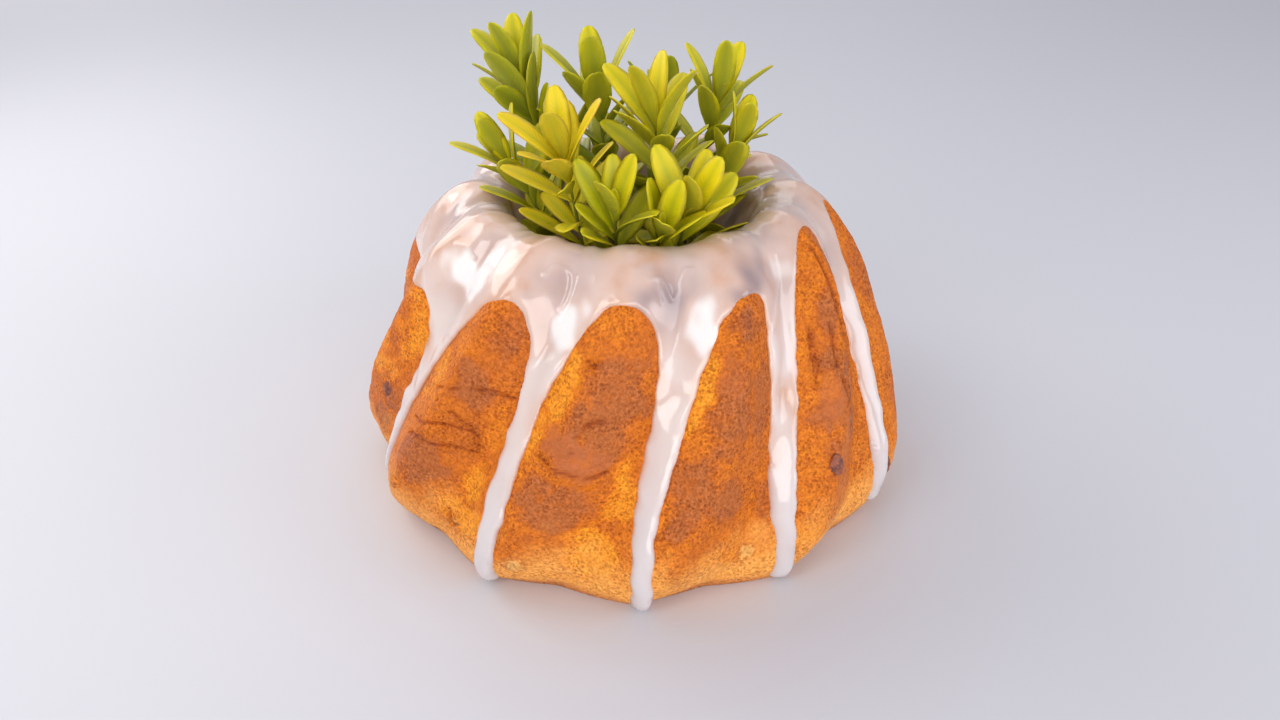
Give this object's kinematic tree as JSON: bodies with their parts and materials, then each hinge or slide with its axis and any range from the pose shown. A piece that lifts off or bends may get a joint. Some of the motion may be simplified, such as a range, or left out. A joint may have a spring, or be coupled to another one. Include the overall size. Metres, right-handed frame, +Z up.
{
  "type": "bundt cake",
  "caption": "Tall ring cake with rounded flutes that twist to the right, a funnel-shaped mouth and hole, sugar glaze running down its sides, and leafy box sprigs standing in the hole.",
  "frame": {"origin": "middle of the cake's flat base, on the cake's axis", "axes": "+Z up along the cake's axis, -Y towards the front"},
  "size_m": [0.2166, 0.2166, 0.1689],
  "materials": {
    "crust": "baked crust, dry and finely grained",
    "glaze": "sugar glaze, glossy and slightly clear where it is thin",
    "leaf": "waxy leaf, soft gloss"
  },
  "bodies": {
    "root": {"cake": "crust", "sprig_back_left": "leaf", "sprig_left": "leaf", "sprig_front_left": "leaf", "sprig_front": "leaf", "sprig_rim": "leaf", "sprig_back": "leaf", "sprig_middle": "leaf", "sprig_back_right": "leaf", "sprig_right": "leaf", "sprig_front_right": "leaf", "sprig_rear": "leaf", "sprig_rear_left": "leaf"}
  },
  "joints": []
}
